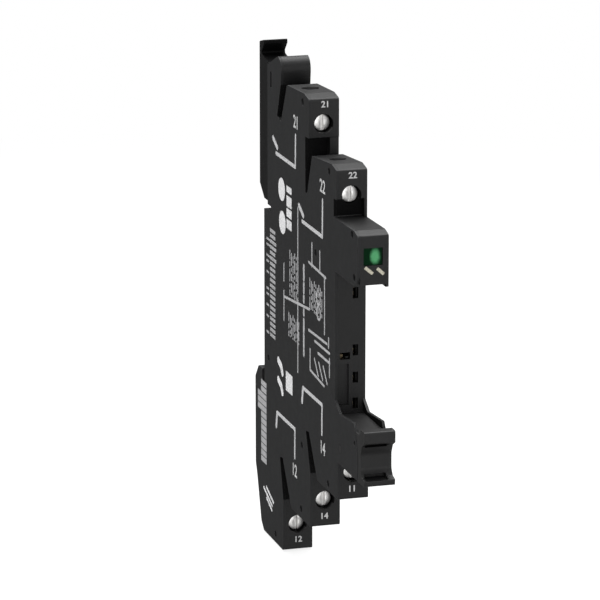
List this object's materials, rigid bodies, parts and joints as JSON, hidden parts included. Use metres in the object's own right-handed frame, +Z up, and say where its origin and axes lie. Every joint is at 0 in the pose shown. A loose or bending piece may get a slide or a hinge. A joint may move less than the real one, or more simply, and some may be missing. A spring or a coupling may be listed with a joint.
{
  "type": "relay socket",
  "caption": "Slim rail-mounted socket for a plug-in relay, with stepped screw clamps, indicator window, retaining and ejecting clip, and sprung rail latch.",
  "frame": {"origin": "middle of the rail seat: half the width, on the plane of the rail's front, level with the rail's middle", "axes": "+X along the rail, +Y into the rail, away from the user, +Z up"},
  "size_m": [0.0062, 0.076, 0.1032],
  "materials": {
    "housing_plastic": "fine moulded grain, charcoal black",
    "cover_plastic": "fine moulded grain, charcoal black, printed in pale grey",
    "latch_plastic": "smooth moulded, deep black",
    "clip_plastic": "fine moulded grain, black",
    "spring_steel": "drawn wire",
    "plated_steel": "bright nickel plating",
    "cage_steel": "zinc plating, slightly yellow",
    "contact_alloy": "rolled copper alloy, tinned",
    "board_laminate": "solder mask",
    "led_epoxy": "clear epoxy",
    "green_window": "moulded translucent green",
    "chip_ceramic": "glazed chip",
    "component_epoxy": "moulded epoxy"
  },
  "bodies": {
    "base": {"housing": "housing_plastic", "side_cover": "cover_plastic", "latch_spring": "spring_steel", "contact_strip_1": "contact_alloy", "contact_strip_2": "contact_alloy", "contact_strip_3": "contact_alloy", "contact_strip_4": "contact_alloy", "contact_strip_5": "contact_alloy", "circuit_board": "board_laminate", "indicator_led": "led_epoxy", "indicator_window": "green_window", "chip_resistors": "chip_ceramic", "rectifier": "component_epoxy"},
    "latch": {"rail_latch": "latch_plastic"},
    "clip": {"retaining_clip": "clip_plastic"},
    "screw_1": {"terminal_screw_1": "plated_steel"},
    "cage_1": {"clamp_cage_1": "cage_steel"},
    "screw_2": {"terminal_screw_2": "plated_steel"},
    "cage_2": {"clamp_cage_2": "cage_steel"},
    "screw_3": {"terminal_screw_3": "plated_steel"},
    "cage_3": {"clamp_cage_3": "cage_steel"},
    "screw_4": {"terminal_screw_4": "plated_steel"},
    "cage_4": {"clamp_cage_4": "cage_steel"},
    "screw_5": {"terminal_screw_5": "plated_steel"},
    "cage_5": {"clamp_cage_5": "cage_steel"}
  },
  "joints": [
    {"name": "latch_slide", "type": "slide", "parent": "base", "child": "latch", "axis": [0, 0, 1], "range_m": [0, 0.003], "stiffness_N_per_m": 300, "springref_m": -0.002, "deforming": ["latch_spring"]},
    {"name": "clip_swing", "type": "hinge", "parent": "base", "child": "clip", "pos_m": [0, -0.0533, -0.0192], "axis": [1, 0, 0], "range_deg": [0, 35]},
    {"name": "cage_rise_1", "type": "slide", "parent": "base", "child": "cage_1", "axis": [0, -1, 0], "range_m": [0, 0.002]},
    {"name": "screw_turn_1", "type": "hinge", "parent": "base", "child": "screw_1", "pos_m": [0, -0.0297, 0.0406], "axis": [0, 1, 0], "range_deg": [0, 1440]},
    {"name": "cage_rise_2", "type": "slide", "parent": "base", "child": "cage_2", "axis": [0, -1, 0], "range_m": [0, 0.002]},
    {"name": "screw_turn_2", "type": "hinge", "parent": "base", "child": "screw_2", "pos_m": [0, -0.0483, 0.0304], "axis": [0, 1, 0], "range_deg": [0, 1440]},
    {"name": "cage_rise_3", "type": "slide", "parent": "base", "child": "cage_3", "axis": [0, -1, 0], "range_m": [0, 0.002]},
    {"name": "screw_turn_3", "type": "hinge", "parent": "base", "child": "screw_3", "pos_m": [0, -0.0497, -0.0246], "axis": [0, 1, 0], "range_deg": [0, 1440]},
    {"name": "cage_rise_4", "type": "slide", "parent": "base", "child": "cage_4", "axis": [0, -1, 0], "range_m": [0, 0.002]},
    {"name": "screw_turn_4", "type": "hinge", "parent": "base", "child": "screw_4", "pos_m": [0, -0.0309, -0.0358], "axis": [0, 1, 0], "range_deg": [0, 1440]},
    {"name": "cage_rise_5", "type": "slide", "parent": "base", "child": "cage_5", "axis": [0, -1, 0], "range_m": [0, 0.002]},
    {"name": "screw_turn_5", "type": "hinge", "parent": "base", "child": "screw_5", "pos_m": [0, -0.0116, -0.0466], "axis": [0, 1, 0], "range_deg": [0, 1440]}
  ],
  "couplings": [
    {"joint": "screw_turn_1", "follows": "cage_rise_1", "rad_per_m": 12566},
    {"joint": "screw_turn_2", "follows": "cage_rise_2", "rad_per_m": 12566},
    {"joint": "screw_turn_3", "follows": "cage_rise_3", "rad_per_m": 12566},
    {"joint": "screw_turn_4", "follows": "cage_rise_4", "rad_per_m": 12566},
    {"joint": "screw_turn_5", "follows": "cage_rise_5", "rad_per_m": 12566}
  ]
}
